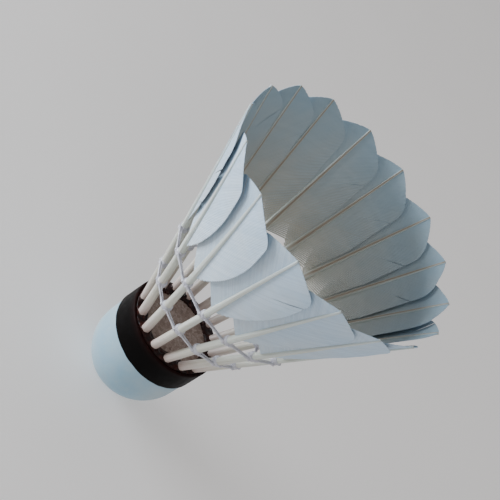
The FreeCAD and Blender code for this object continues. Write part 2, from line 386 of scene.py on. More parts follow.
def glue_finish():
    """Dark glue, redder where it is thin."""
    material, tree, shader = new_material("root_glue", 0.32, Specular_IOR_Level=0.22)
    place = object_place(tree)
    patches = noise_value(tree, place, 1.3, 4.0)
    colour = ramp(
        tree,
        patches,
        (0.35, (0.006, 0.002, 0.002)),
        (0.55, (0.022, 0.005, 0.004)),
        (0.75, (0.06, 0.015, 0.010)),
    )
    tree.links.new(colour, shader.inputs["Base Color"])
    add_bump(tree, shader, noise_value(tree, place, 0.5, 3.0), 0.08 * MM, 0.6)
    return material


CORK = cork_finish()
GLUE = glue_finish()
print("finishes:", CORK.name, GLUE.name)

# %% [markdown]
# ### Quill, barbs, thread and lacquer
# A quill is horny and cream-coloured, pinker and clearer at its root, with faint streaks along it
# and painted shade in its groove.
# The barbs are white with a cold cast. Each one has a tone of its own, which its mesh carries as
# an attribute. Their inner faces get painted shade, olive deep in the skirt. The lashing is white
# cotton, under a milky lacquer that soaks it.

# %% Finishes of the quills and the barbs
def attribute(tree, name):
    """A number that the mesh carries at each point."""
    return add_node(tree, "ShaderNodeAttribute", {"attribute_name": name}).outputs["Fac"]


def quill_finish():
    """Horn that is pink at the root and streaked along, with painted shade in the groove."""
    material, tree, shader = new_material("quill", 0.38, Subsurface_Weight=0.06)
    shader.inputs["Subsurface Radius"].default_value = (0.8 * MM, 0.5 * MM, 0.35 * MM)
    shader.inputs["Subsurface Scale"].default_value = 1.0
    along = attribute(tree, "along")
    around = attribute(tree, "around")
    body = ramp(
        tree,
        along,
        (0.0, (0.50, 0.39, 0.36)),
        (0.05, (0.58, 0.50, 0.47)),
        (0.15, (0.62, 0.60, 0.54)),
        (0.45, (0.60, 0.64, 0.60)),
        (1.0, (0.58, 0.66, 0.68)),
    )
    streak_place = combine(tree, X=around, Y=along, Z=attribute(tree, "feather"))
    stretched = add_node(tree, "ShaderNodeMapping", Vector=streak_place, Scale=(9, 5, 1))
    streaks = noise_value(tree, stretched.outputs["Vector"], 1.0, 4.0)
    marks = ramp(tree, streaks, (0.42, (1, 1, 1)), (0.70, (0.80, 0.77, 0.70)))
    colour = mix_colours(tree, 0.8, body, marks, "MULTIPLY")
    # Painted shade: dark brown down the groove on the inner side, from where the vane begins to the
    # tip, over the groove's own brown
    groove = ramp(tree, around, (0.05, (1, 1, 1)), (0.30, (0, 0, 0)))
    grown = ramp(tree, along, (0.38, (0, 0, 0)), (0.5, (0.9, 0.9, 0.9)))
    groove = mix_colours(tree, 1.0, groove, grown, "MULTIPLY")
    colour = mix_colours(tree, groove, colour, (0.30, 0.22, 0.15))
    tree.links.new(colour, shader.inputs["Base Color"])
    add_bump(tree, shader, streaks, 0.04 * MM, 0.5)
    return material


def barb_finish():
    """Cold white outside and painted shade inside, olive deep in the skirt, with faint bars across the
    feather.
    """
    material, tree, shader = new_material("feather_barbs", 0.5, Sheen_Weight=0.12, Sheen_Roughness=0.4)
    tone = attribute(tree, "tone")
    along = attribute(tree, "along")
    outside = ramp(tree, tone, (0.0, (0.50, 0.64, 0.79)), (1.0, (0.60, 0.73, 0.87)))
    # Painted shade on the inner faces: darker than the outside, warm olive deep in the skirt and bluer
    # towards the tips
    inside = ramp(
        tree,
        along,
        (0.50, (0.55, 0.49, 0.36)),
        (0.72, (0.40, 0.43, 0.41)),
        (1.00, (0.30, 0.43, 0.52)),
    )
    colour = mix_colours(tree, attribute(tree, "inner"), outside, inside)
    place = object_place(tree)
    clouds = noise_value(tree, place, 7.0, 3.0)
    tint = ramp(tree, clouds, (0.35, (0.93, 0.97, 1.0)), (0.65, (1.0, 0.985, 0.97)))
    colour = mix_colours(tree, 1.0, colour, tint, "MULTIPLY")
    bars = noise_value(tree, combine(tree, X=along), 0.035, 2.0)
    bars = ramp(tree, bars, (0.35, (0.95, 0.955, 0.96)), (0.60, (1, 1, 1)))
    colour = mix_colours(tree, 1.0, colour, bars, "MULTIPLY")
    tree.links.new(colour, shader.inputs["Base Color"])
    fuzz = noise_value(tree, place, 0.12, 2.0)
    add_bump(tree, shader, fuzz, 0.02 * MM, 0.5)
    return material


QUILL = quill_finish()
BARBS = barb_finish()
print("finishes:", QUILL.name, BARBS.name)


# %% Finishes of the thread and its lacquer
def thread_finish():
    """White cotton fibres."""
    material, tree, shader = new_material("lashing_thread", 0.6, Sheen_Weight=0.2)
    place = object_place(tree)
    fibres = noise_value(tree, place, 0.25, 4.0)
    colour = ramp(tree, fibres, (0.35, (0.46, 0.46, 0.52)), (0.65, (0.64, 0.63, 0.70)))
    tree.links.new(colour, shader.inputs["Base Color"])
    add_bump(tree, shader, fibres, 0.03 * MM, 0.7)
    return material


def lacquer_finish():
    """Milky lacquer that lets a little light through."""
    material, tree, shader = new_material("milky_lacquer", 0.25, Subsurface_Weight=0.15)
    shader.inputs["Subsurface Radius"].default_value = (0.5 * MM, 0.4 * MM, 0.4 * MM)
    shader.inputs["Subsurface Scale"].default_value = 1.0
    place = object_place(tree)
    patches = noise_value(tree, place, 1.2, 4.0)
    colour = ramp(tree, patches, (0.35, (0.48, 0.49, 0.54)), (0.65, (0.62, 0.61, 0.68)))
    tree.links.new(colour, shader.inputs["Base Color"])
    add_bump(tree, shader, noise_value(tree, place, 0.4, 3.0), 0.05 * MM, 0.6)
    return material


THREAD = thread_finish()
LACQUER = lacquer_finish()
print("finishes:", THREAD.name, LACQUER.name)

# %% [markdown]
# ## The cork
# Only the middle of the cork's flat top is ever seen, down between the quills. The design's own
# cork has the right shape, so both of its nodes stay and only take the cork finish.

# %% Give the design's cork its finish
for name in ("cork_nose", "cork_collar"):
    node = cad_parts[name]
    node.data.materials.clear()
    node.data.materials.append(CORK)
print("cork nodes keep their own shape")

# %% [markdown]
# ## The leather cover
# The cover is a profile turned round the axis: up the outside from the nose, over the cut edge at
# the top and back down the inside. Leather stretched by hand is never a perfect dome, so its
# outside is then pressed in here and there by a tenth of a millimetre or so.

# %% Turn a profile round the axis
def turn_profile(name, profile, sides, press=None):
    """A closed surface of revolution. A profile point on the axis becomes a single pole.

    press may move each point, given its place, its number in the profile and its angle.
    """
    points = []
    rows = []
    for step, (radius, height) in enumerate(profile):
        count = 1 if radius < 1e-7 else sides
        rows.append(range(len(points), len(points) + count))
        for side in range(count):
            angle = 2 * math.pi * side / sides
            point = Vector((radius * math.cos(angle), radius * math.sin(angle), height))
            points.append(press(point, step, angle) if press else point)
    faces = []
    for step, row in enumerate(rows):
        following = rows[(step + 1) % len(rows)]
        if len(row) == 1 and len(following) == 1:
            continue
        for side in range(sides):
            after = (side + 1) % sides
            corners = [row[side % len(row)], row[after % len(row)]]
            corners += [following[after % len(following)], following[side % len(following)]]
            faces.append(tuple(dict.fromkeys(corners)))
    return new_object(name, points, faces)


def arc_points(centre, radius, start, end, steps):
    """Points of an arc in a profile, from one angle to the other."""
    for step in range(steps + 1):
        angle = start + (end - start) * step / steps
        yield centre[0] + radius * math.cos(angle), centre[1] + radius * math.sin(angle)


# %% Make the leather cover
EDGE_ROUND = 0.3 * MM
WIDE_HOLLOW = {"size": 7 * MM, "depth": 0.09 * MM}
SMALL_HOLLOW = {"size": 2.2 * MM, "depth": 0.025 * MM}
HOLLOW_FADE = 2 * MM


def leather_profile():
    """Outside, cut edge and inside of the cover."""
    corner = (LEATHER_RADIUS - EDGE_ROUND, HEAD_TOP - EDGE_ROUND)
    quarter = math.pi / 2
    outside = list(arc_points((0, LEATHER_RADIUS), LEATHER_RADIUS, -quarter, 0, 56))
    outside[0] = (0, 0)
    side_steps = 24
    for step in range(1, side_steps):
        rise = (corner[1] - LEATHER_RADIUS) * step / side_steps
        outside.append((LEATHER_RADIUS, LEATHER_RADIUS + rise))
    edge = list(arc_points(corner, EDGE_ROUND, 0, quarter, 5))
    inside = [(CORK_RADIUS, HEAD_TOP)]
    inside += list(arc_points((0, LEATHER_RADIUS), CORK_RADIUS, 0, -quarter, 28))
    inside[-1] = (0, LEATHER_WALL)
    return outside + edge + inside


def press_leather(point, _step, _angle):
    """Shallow hollows in the cover's outside, none near the band's edge."""
    to_centre = Vector((0, 0, LEATHER_RADIUS)) - point
    if to_centre.length < LEATHER_RADIUS - LEATHER_WALL / 2 or point.z > BAND_BOTTOM:
        return point
    depth = 0
    for hollow in (WIDE_HOLLOW, SMALL_HOLLOW):
        depth += (0.5 + 0.5 * noise.noise(point / hollow["size"])) * hollow["depth"]
    fade = min(1, (BAND_BOTTOM - point.z) / HOLLOW_FADE)
    return point + to_centre.normalized() * depth * fade


cover = turn_profile("leather_cover_look", leather_profile(), 192, press_leather)
finish_piece(cover, "leather", LEATHER, "leather_cover")

# %% [markdown]
# ## The rim band
# The band is a strip of tape wrapped once round the rim, so one end lies over the other in a short
# step. Its upper edge is folded in over the cork, where the spare length gathers into small
# puckers. All of that is pressed into a turned profile point by point.

# %% Make the rim band
LAP_ANGLE = math.radians(250)
LAP_WIDTH = math.radians(34)
LAP_RAMPS = (math.radians(1.2), math.radians(14))
LAP_STEP = 0.13 * MM
LIP_WIDTH = 0.8 * MM
RIM_ROUND = 0.5 * MM
LOWER_ROUND = 0.08 * MM
PUCKERS = 46
PUCKER_DEPTH = 0.07 * MM
WRINKLE = 0.03 * MM
CUT_WANDER = 0.11 * MM
LIP_WANDER = 0.12 * MM
TUCK = 0.02 * MM  # how far a hidden face runs into the piece beside it


def band_profile():
    """Lower edge, outside, rounded rim, folded lip and the hidden inner face."""
    quarter = math.pi / 2
    corner = (BAND_RADIUS - RIM_ROUND, BAND_TOP - RIM_ROUND)
    lower = (BAND_RADIUS - LOWER_ROUND, BAND_BOTTOM + LOWER_ROUND)
    profile = list(arc_points(lower, LOWER_ROUND, -quarter, 0, 3))
    steps = 22
    for step in range(1, steps):
        profile.append((BAND_RADIUS, lower[1] + (corner[1] - lower[1]) * step / steps))
    profile += list(arc_points(corner, RIM_ROUND, 0, quarter, 7))
    lip_end = BAND_RADIUS - LIP_WIDTH
    profile += [(lip_end + 0.15 * MM, BAND_TOP), (lip_end, BAND_TOP - 0.04 * MM), (lip_end, HEAD_TOP)]
    profile += [(LEATHER_RADIUS - 0.15 * MM, HEAD_TOP - TUCK)]
    profile += [(LEATHER_RADIUS - TUCK, HEAD_TOP - 0.6 * MM), (LEATHER_RADIUS - TUCK, BAND_BOTTOM)]
    return profile


BAND_PROFILE = band_profile()


def lap_height(angle):
    """Extra thickness where the tape's end lies over its start."""
    away = (angle - LAP_ANGLE) % (2 * math.pi)
    if away > LAP_WIDTH:
        return 0.0
    return LAP_STEP * min(1, away / LAP_RAMPS[0], (LAP_WIDTH - away) / LAP_RAMPS[1])


def press_band(point, step, angle):
    """The lap, the puckers of the lip and a hand-cut lower edge."""
    radius, height = BAND_PROFILE[step]
    out = outward(angle)
    moved = point.copy()
    if radius > BAND_RADIUS - 0.55 * MM:
        moved += out * lap_height(angle)
        moved += out * WRINKLE * noise.noise(point / (1.8 * MM))
    if height < BAND_BOTTOM + 0.3 * MM:
        moved.z += CUT_WANDER * noise.noise(out * 6)
    if height > HEAD_TOP - 0.2 * MM and radius < BAND_RADIUS - 0.2 * MM:
        wave = math.sin(angle * PUCKERS + 2.5 * noise.noise(out * 3))
        moved.z -= PUCKER_DEPTH * (0.5 + 0.5 * wave)
        moved += out * LIP_WANDER * noise.noise(out * 9)
    return moved


band = turn_profile("rim_band_look", BAND_PROFILE, 540, press_band)
finish_piece(band, "band", BAND, "rim_band")

# %% [markdown]
# ## The glue round the roots
# Glue is run round the top of the cork and creeps up each quill. It is a sheet over a ring of the
# cork, whose height at each point comes from how near the nearest quill is, with some noise so
# that no two fillets are the same.

# %% Make the root glue
GLUE_INNER = 9.25 * MM
GLUE_OUTER = LEATHER_RADIUS - 0.58 * MM
GLUE_DEPTH = 0.32 * MM
QUILL_RADIUS = 1.15 * MM
FILLET_RISE = 1.0 * MM
FILLET_REACH = 0.34 * MM
THIN_EDGE = 0.12  # share of the sheet's width, at its inner edge
LUMP_SIZE = 0.9 * MM
EDGE_WAVES = ((5, 0.35 * MM), (17, 0.2 * MM))
GLUE_ROWS = 26


def glue_height(x, y, inward):
    """Depth of glue over a point of the cork's top. inward is 0 at the inner edge and 1 outside."""
    nearest = round(math.atan2(y, x) / STEP) * STEP
    across = (x * math.cos(nearest) + y * math.sin(nearest) - ROOT_CIRCLE) * math.cos(LEAN)
    beside = y * math.cos(nearest) - x * math.sin(nearest)
    gap = max(0, math.hypot(across, beside) - QUILL_RADIUS)
    lumps = noise.noise(Vector((x, y, 0)) / LUMP_SIZE)
    rise = FILLET_RISE * (0.8 + 0.5 * lumps) * math.exp(-gap / FILLET_REACH)
    edge = min(1, inward / THIN_EDGE) ** 0.5
    return (GLUE_DEPTH * (1 + 0.35 * lumps) + rise) * edge


def root_glue():
    """A closed sheet: glue surface above, cork's top below."""
    sides = FEATHERS * 36
    around = [outward(2 * math.pi * side / sides) for side in range(sides)]
    points = []
    for row in range(GLUE_ROWS):
        inward = row / (GLUE_ROWS - 1)
        for out in around:
            inner = GLUE_INNER + sum(depth * noise.noise(out * waves) for waves, depth in EDGE_WAVES)
            place = out * (inner + (GLUE_OUTER - inner) * inward)
            points.append(place + Vector((0, 0, HEAD_TOP + glue_height(place.x, place.y, inward))))
    for radius in (GLUE_OUTER, GLUE_INNER + 0.3 * MM):
        points += [out * radius + Vector((0, 0, HEAD_TOP - TUCK)) for out in around]
    faces = ring_faces(GLUE_ROWS + 2, sides, closed_rings=True)
    return new_object("root_glue_look", points, faces)


finish_piece(root_glue(), "glue", GLUE, "root_glue")

# %% [markdown]
# ## The shafts
# A feather's shaft is round and hollow at the quill. Where the vane begins it turns squarer, and a
# groove runs up its inner side to the tip. Each shaft is a stack of rings whose radius, squareness
# and groove change along it. It carries two attributes, how far along and how far round each point
# is, for the streaks of its finish and for the painted shade that the finish puts in the groove.

# %% Make the shafts
QUILL_END_RADIUS = 1.0 * MM
RACHIS_RADIUS = 0.85 * MM
TIP_RADIUS = 0.32 * MM
SHAFT_SIDES = 28
SHAFT_RINGS = 72
SQUARE_FROM = BARE_QUILL - 5 * MM
SQUARE_BY = BARE_QUILL + 6 * MM
SQUARER = 1.6
CORNER_REACH = 1.12
GROOVE_DEPTH = 0.30
GROOVE_SHARPNESS = 10
NARROWER = 0.12
WANDER = {"length": 9 * MM, "depth": 0.06 * MM}


def between(value, low, high, first, last):
    """Straight-line change from first to last as value goes from low to high."""
    share = min(1, max(0, (value - low) / (high - low)))
    return first + (last - first) * share


def shaft_radius(height):
    """Taper of the design's shaft."""
    if height < 0:
        return between(height, -SOCKET_DEPTH, 0, QUILL_END_RADIUS, QUILL_RADIUS)
    if height < BARE_QUILL:
        return between(height, 0, BARE_QUILL, QUILL_RADIUS, RACHIS_RADIUS)
    return between(height, BARE_QUILL, SHAFT_LENGTH, RACHIS_RADIUS, TIP_RADIUS)


def shaft_ring(height):
    """One ring: round at the quill, and above it squarer with a groove on the inner side."""
    radius = shaft_radius(height)
    squareness = between(height, SQUARE_FROM, SQUARE_BY, 0, 1)
    power = 2 + SQUARER * squareness
    narrow = 1 - NARROWER * squareness
    for side in range(SHAFT_SIDES):
        angle = 2 * math.pi * side / SHAFT_SIDES
        x, y = math.cos(angle), math.sin(angle)
        reach = min(CORNER_REACH, (abs(x) ** power + abs(y) ** power) ** (-1 / power))
        reach *= 1 - GROOVE_DEPTH * squareness * max(0, -x) ** GROOVE_SHARPNESS
        yield Vector((radius * reach * x, radius * reach * y * narrow, height))


def make_shaft(number):
    """A stack of rings, which wanders a little off its line."""
    points = []
    along = []
    for ring in range(SHAFT_RINGS):
        height = between(ring, 0, SHAFT_RINGS - 1, -SOCKET_DEPTH, SHAFT_LENGTH)
        aside = noise.noise(Vector((height / WANDER["length"], number, 0))) * WANDER["depth"]
        points += [point + Vector((aside, 0, 0)) for point in shaft_ring(height)]
        along += [max(0, height / SHAFT_LENGTH)] * SHAFT_SIDES
    around = [abs(2 * side / SHAFT_SIDES - 1) for side in range(SHAFT_SIDES)] * SHAFT_RINGS
    piece = new_object(f"shaft_{number + 1:02d}_look", points, tube_faces(SHAFT_RINGS, SHAFT_SIDES))
    store(piece, along=along, around=around, feather=[float(number)] * len(points))
    place_feather_part(piece, number)
    return piece


for number in range(FEATHERS):
    finish_piece(make_shaft(number), "quill", QUILL, f"feather_shaft_{number + 1:02d}")

# %% [markdown]
# ## The vanes
# A vane is a sheet of some hundreds of barbs. Each grows from the side of the shaft, slants towards
# the tip and stops where the vane was cut to shape. Geometry Nodes suit this: Python works out one
# point for each barb, with its length and slant, and the tree puts a thin four-sided barb on each
# point, then curls the whole sheet. Here and there a few barbs have come unzipped, so a narrow
# gap opens towards the edge.
#
# No two feathers are cut alike. Round one side of this skirt the vanes begin a little lower, fill
# out sooner, and splay their lowest barbs, which closes the gaps between their feet.

# %% Where is a half vane's edge?
OUTER_HALF = {"side": 1, "width": 9.0 * MM, "shoulder": 9.0 * MM, "end_drop": 4.4 * MM}
INNER_HALF = {"side": -1, "width": 8.8 * MM, "shoulder": 20.0 * MM, "end_drop": 5.4 * MM}
END_CURVE = 1.35
CORNER_ROUND = 2.6 * MM
FOOT_SHIFT = [0.5, 0.4, 0.1, -0.3, -0.7, -1.0, -1.3, -1.5, -1.5, -1.4, -1.2, -0.9, -0.6, -0.2, 0.2, 0.5]
FULL_SHIFT = [0.0, 0.0, 0.0, 0.0, 1.0, 3.0, 5.0, 7.0, 7.0, 7.0, 7.0, 5.0, 3.0, 1.0, 0.0, 0.0]
SIDE_ROOM = 0.5 * MM


def vane_foot(number):
    """Height of a vane's lowest barb."""
    return BARE_QUILL + FOOT_SHIFT[number] * MM


def room_beside(height, number):
    """Width that an inner half may have before it meets the shaft of the feather before it."""
    reach = ROOT_CIRCLE + height * math.sin(LEAN)
    apart = 2 * reach * math.sin(STEP / 2)
    sway = (SWAY[number] - SWAY[number - 1]) * MM * (height / SHAFT_LENGTH) ** 2
    return apart + sway * reach / TIP_CIRCLE - shaft_radius(height) - SIDE_ROOM


def smooth_least(first, second, distance):
    """The smaller of two lengths, rounded off where they are nearly equal."""
    overlap = max(distance - abs(first - second), 0) / distance
    return min(first, second) - overlap * overlap * distance / 4


def edge_at(height, number, half):
    """Width of a half vane: it sweeps out from its foot to the shoulder, and is cut off at the tip."""
    shoulder = SHAFT_LENGTH - half["shoulder"] - FULL_SHIFT[number] * MM
    rise = max(shoulder - vane_foot(number), half["width"])
    radius = (rise**2 + half["width"] ** 2) / (2 * half["width"])
    below = min(radius, max(0, shoulder - height))
    sweep = half["width"] - radius + math.sqrt(radius**2 - below**2)
    from_tip = max(0, SHAFT_LENGTH - height) / half["end_drop"]
    end = half["width"] * from_tip ** (1 / END_CURVE)
    width = smooth_least(sweep, end, CORNER_ROUND)
    return min(width, room_beside(height, number)) if half["side"] < 0 else width


print(f"the lowest vane begins {min(map(vane_foot, range(FEATHERS))) / MM} mm up its shaft")

# %% How long is a barb?
def barb_length(start, slant, number, half):
    """How far a barb runs from the shaft before it meets the edge, found by halving."""
    short, long = 0.0, half["width"] / math.sin(slant)
    for _ in range(24):
        middle = (short + long) / 2
        edge = edge_at(start + middle * math.cos(slant), number, half)
        inside = middle * math.sin(slant) < edge
        short, long = (middle, long) if inside else (short, middle)
    return short


trial = barb_length(45 * MM, math.radians(40), 0, OUTER_HALF)
print(f"a barb 45 mm up a shaft is {trial / MM:.1f} mm long")

# %% Lay out a feather's barbs
BARB_PITCH = 0.42 * MM
FOOT_SLANT = math.radians(50)
TIP_SLANT = math.radians(34)
CLUMP = (9, 26)
CLUMP_SPREAD = math.radians(0.9)
UNZIPPED_SHARE = 0.05
UNZIPPED_SPREAD = math.radians(2.4)
FOOT_SPLAY = math.radians(3.0)  # for each millimetre by which a vane fills out sooner
SPLAY_REACH = 9 * MM
UNEVEN_ENDS = 0.05
SHORTEST_BARB = 0.3 * MM
print(f"{SHAFT_LENGTH / BARB_PITCH:.0f} barbs would fill a whole shaft's side")


def barb_spreads(count, luck):
    """How far each barb lies off its even slant: alike in a clump, more where one has parted."""
    spreads = []
    while len(spreads) < count:
        widest = UNZIPPED_SPREAD if luck.random() < UNZIPPED_SHARE else CLUMP_SPREAD
        spreads += [luck.uniform(-1, 1) * widest] * luck.randint(*CLUMP)
    return spreads[:count]


def barb_feet(number):
    """Points along the shaft, one for each barb, with its length, slant and side."""
    luck = random.Random(1000 + number)
    foot = vane_foot(number)
    feet = []
    lengths = []
    slants = []
    for half in (OUTER_HALF, INNER_HALF):
        count = int((SHAFT_LENGTH - foot) / BARB_PITCH)
        for step, spread in enumerate(barb_spreads(count, luck)):
            start = foot + (step + 0.5) * BARB_PITCH
            slant = between(start, foot, SHAFT_LENGTH, FOOT_SLANT, TIP_SLANT) + spread
            slant += FOOT_SPLAY * FULL_SHIFT[number] * math.exp((foot - start) / SPLAY_REACH)
            length = barb_length(start, slant, number, half) - abs(luck.gauss(0, UNEVEN_ENDS)) * MM
            if length > SHORTEST_BARB:
                feet.append(Vector((0, 0, start)))
                lengths.append(length)
                slants.append(half["side"] * slant)
    piece = new_object(f"vane_{number + 1:02d}_look", feet, [])
    store(piece, barb_length=lengths, barb_slant=slants)
    return piece


# %% [markdown]
# ### The tree that grows barbs
# The tree has named inputs, so the same tree grows every feather with its own seed. The curl is a
# parabola across the vane, which is as good as a circle for a sheet this shallow. The twist lifts
# the outer half over the next feather and tucks the inner half under the one before.

# %% Helpers for Geometry Nodes
def new_tree(name, inputs):
    """A Geometry Nodes tree with geometry in and out, and the given named inputs."""
    tree = bpy.data.node_groups.new(name, "GeometryNodeTree")
    tree.interface.new_socket(name="Geometry", in_out="INPUT", socket_type="NodeSocketGeometry")
    tree.interface.new_socket(name="Geometry", in_out="OUTPUT", socket_type="NodeSocketGeometry")
    for label, kind, default in inputs:
        kind = f"NodeSocket{kind}"
        socket = tree.interface.new_socket(name=label, in_out="INPUT", socket_type=kind)
        if default is not None:
            socket.default_value = default
    return tree, tree.nodes.new("NodeGroupInput").outputs, tree.nodes.new("NodeGroupOutput").inputs


def named_value(tree, name):
    """The value of an attribute at each point."""
    node = add_node(tree, "GeometryNodeInputNamedAttribute", {"data_type": "FLOAT"}, Name=name)
    return node.outputs["Attribute"]


def keep_value(tree, geometry, name, value, domain):
    """Keep a value on the geometry, as an attribute that the finish reads."""
    kinds = {"data_type": "FLOAT", "domain": domain}
    given = {"Geometry": geometry, "Name": name, "Value": value}
    return add_node(tree, "GeometryNodeStoreNamedAttribute", kinds, **given).outputs["Geometry"]


def position(tree):
    """Where each point is."""
    return add_node(tree, "GeometryNodeInputPosition").outputs["Position"]


def moved(tree, geometry, offset):
    """The geometry, with its points pushed along."""
    node = add_node(tree, "GeometryNodeSetPosition", Geometry=geometry, Offset=offset)
    return node.outputs["Geometry"]


def realized(tree, instances):
    """Instances made into real faces, which the export needs."""
    node = add_node(tree, "GeometryNodeRealizeInstances", Geometry=instances)
    return node.outputs["Geometry"]


def paint_and_end(tree, geometry, material, result):
    """Set the material and hand the geometry out."""
    node = add_node(tree, "GeometryNodeSetMaterial", Geometry=geometry, Material=material)
    tree.links.new(node.outputs["Geometry"], result["Geometry"])
    return tree


def grow(piece, tree, **inputs):
    """Run a tree on an object and keep the result as the object's own plain mesh."""
    modifier = piece.modifiers.new("grow", "NODES")
    modifier.node_group = tree
    for item in tree.interface.items_tree:
        key = item.name.replace(" ", "_").lower()
        if item.item_type == "SOCKET" and item.in_out == "INPUT" and key in inputs:
            modifier[item.identifier] = inputs[key]
    bpy.context.view_layer.update()
    depsgraph = bpy.context.evaluated_depsgraph_get()
    grown = bpy.data.meshes.new_from_object(piece.evaluated_get(depsgraph), depsgraph=depsgraph)
    name = piece.name
    bpy.data.objects.remove(piece)
    return add_to_scene(name, grown)


# %% Build the barb tree
RIPPLE_LENGTH = 6 * MM
RIPPLE_START = 4 * MM  # distance from the shaft at which a ripple has its full depth


def barb_tree():
    """Puts a thin barb on each point, and curls and twists the sheet that they make."""
    tree, given, result = new_tree(
        "grow_barbs",
        (
            ("Barb Width", "Float", 0.4 * MM),
            ("Barb Depth", "Float", 0.15 * MM),
            ("Barb Steps", "Int", 10),
            ("Curl Radius", "Float", 28 * MM),
            ("Twist", "Float", 0.1),
            ("Ripple", "Float", 0.1 * MM),
            ("Seed", "Int", 0),
            ("Material", "Material", None),
        ),
    )
    # One barb: a four-sided rod of length 1 that stands on the origin
    sizes = {"Vertices": 4, "Side_Segments": given["Barb Steps"], "Radius": 0.5, "Depth": 1.0}
    rod = add_node(tree, "GeometryNodeMeshCylinder", **sizes).outputs["Mesh"]
    stood = add_node(tree, "GeometryNodeTransform", Geometry=rod, Translation=(0, 0, 0.5))
    # Its ridge on the inside of the skirt is marked, for the painted shade that the finish puts there
    inner = math_node(tree, "SUBTRACT", 0.5, separate(tree, position(tree), "X"))
    barb = keep_value(tree, stood.outputs["Geometry"], "inner", inner, "POINT")
    # One on each point, as long and as slanted as the point says
    length = named_value(tree, "barb_length")
    size = combine(tree, X=given["Barb Depth"], Y=given["Barb Width"], Z=length)
    slant = math_node(tree, "MULTIPLY", named_value(tree, "barb_slant"), -1.0)
    turn = add_node(tree, "FunctionNodeEulerToRotation", Euler=combine(tree, X=slant))
    barbs = add_node(
        tree,
        "GeometryNodeInstanceOnPoints",
        Points=given["Geometry"],
        Instance=barb,
        Rotation=turn.outputs["Rotation"],
        Scale=size,
    ).outputs["Instances"]
    # Each barb gets a tone of its own
    tone = add_node(tree, "FunctionNodeRandomValue", {"data_type": "FLOAT"}, Seed=given["Seed"])
    sheet = realized(tree, keep_value(tree, barbs, "tone", tone.outputs[1], "INSTANCE"))
    # Curl, twist and ripple push points out of the flat sheet
    place = position(tree)
    across = separate(tree, place, "Y")
    squared = math_node(tree, "MULTIPLY", across, across)
    bend = math_node(tree, "MULTIPLY", given["Curl Radius"], -2.0)
    curl = math_node(tree, "DIVIDE", squared, bend)
    twist = math_node(tree, "MULTIPLY", across, given["Twist"])
    waves = add_node(
        tree,
        "ShaderNodeTexNoise",
        {"noise_dimensions": "4D"},
        Vector=place,
        W=given["Seed"],
        Scale=1 / RIPPLE_LENGTH,
        Detail=1.0,
    ).outputs["Fac"]
    wave = math_node(tree, "MULTIPLY", math_node(tree, "SUBTRACT", waves, 0.5), given["Ripple"])
    growth = math_node(tree, "MULTIPLY", math_node(tree, "ABSOLUTE", across), 1 / RIPPLE_START)
    ripple = math_node(tree, "MULTIPLY", wave, growth)
    push = math_node(tree, "ADD", math_node(tree, "ADD", curl, twist), ripple)
    curled = moved(tree, sheet, combine(tree, X=push))
    return paint_and_end(tree, curled, given["Material"], result)


BARB_TREE = barb_tree()
print("barb tree:", len(BARB_TREE.nodes), "nodes")

# %% Grow the vanes
BARB_WIDTH = 0.40 * MM
BARB_DEPTH = 0.16 * MM
BARB_STEPS = 10
VANE_CURL = 28 * MM
CURL_CHANGE = (0.97, 1.05)
VANE_TWIST = math.radians(5.5)
TWIST_CHANGE = 0.4
VANE_RIPPLE = 0.22 * MM


def make_vane(number):
    """Both halves of a feather's vane, each feather with a curl and a twist of its own."""
    luck = random.Random(2000 + number)
    piece = grow(
        barb_feet(number),
        BARB_TREE,
        barb_width=BARB_WIDTH,
        barb_depth=BARB_DEPTH,
        barb_steps=BARB_STEPS,
        curl_radius=VANE_CURL * luck.uniform(*CURL_CHANGE),
        twist=VANE_TWIST + math.radians(luck.uniform(-TWIST_CHANGE, TWIST_CHANGE)),
        ripple=VANE_RIPPLE,
        seed=number,
        material=BARBS,
    )
    # How far up the shaft each point is, which the finish reads for the faint bars and for the painted
    # shade on the inner faces
    store(piece, along=point_places(piece)[:, 2] / SHAFT_LENGTH)
    place_feather_part(piece, number)
    return piece


for number in range(FEATHERS):
    finish_piece(make_vane(number), "vane", BARBS, f"feather_vane_{number + 1:02d}")

# %% [markdown]
# ## The lashing
# Two rows of thread hold the quills apart. The thread takes a few turns round each quill and goes
# straight on to the next. Python lays out that path once for each row. A second tree lays two
# plies round the path, as a thread maker would, and a milky lacquer is then brushed over it.

# %% Lay out a row of thread
LOW_ROW = 14.0 * MM
HIGH_ROW = 26.0 * MM
THREAD_RADIUS = 0.19 * MM
TURNS = 3
TURN_POINTS = 16
TURN_RISE = 0.3 * MM
TOUCH = math.radians(70)  # where the thread meets and leaves a quill, off its outer side


def thread_path(row_height):
    """Points of one row: round each quill from where the thread arrives to where it leaves."""
    quill = shaft_radius(row_height) + THREAD_RADIUS
    sweep = 2 * math.pi * TURNS + 2 * TOUCH
    steps = int(TURN_POINTS * sweep / (2 * math.pi))
    turns = []
    for step in range(steps + 1):
        share = step / steps
        angle = sweep * share - TOUCH
        height = row_height + (share - 0.5) * TURN_RISE * TURNS
        turns.append((quill * math.cos(angle), quill * math.sin(angle), height))
    return [place for number in range(FEATHERS) for place in bent_and_placed(turns, number)]


def path_curve(name, path):
    """A closed curve through the points."""
    curve = bpy.data.curves.new(name, "CURVE")
    curve.dimensions = "3D"
    spline = curve.splines.new("POLY")
    spline.points.add(len(path) - 1)
    for point, place in zip(spline.points, path):
        point.co = (*place, 1)
    spline.use_cyclic_u = True
    return add_to_scene(name, curve)


print("points along a row of thread:", len(thread_path(LOW_ROW)))

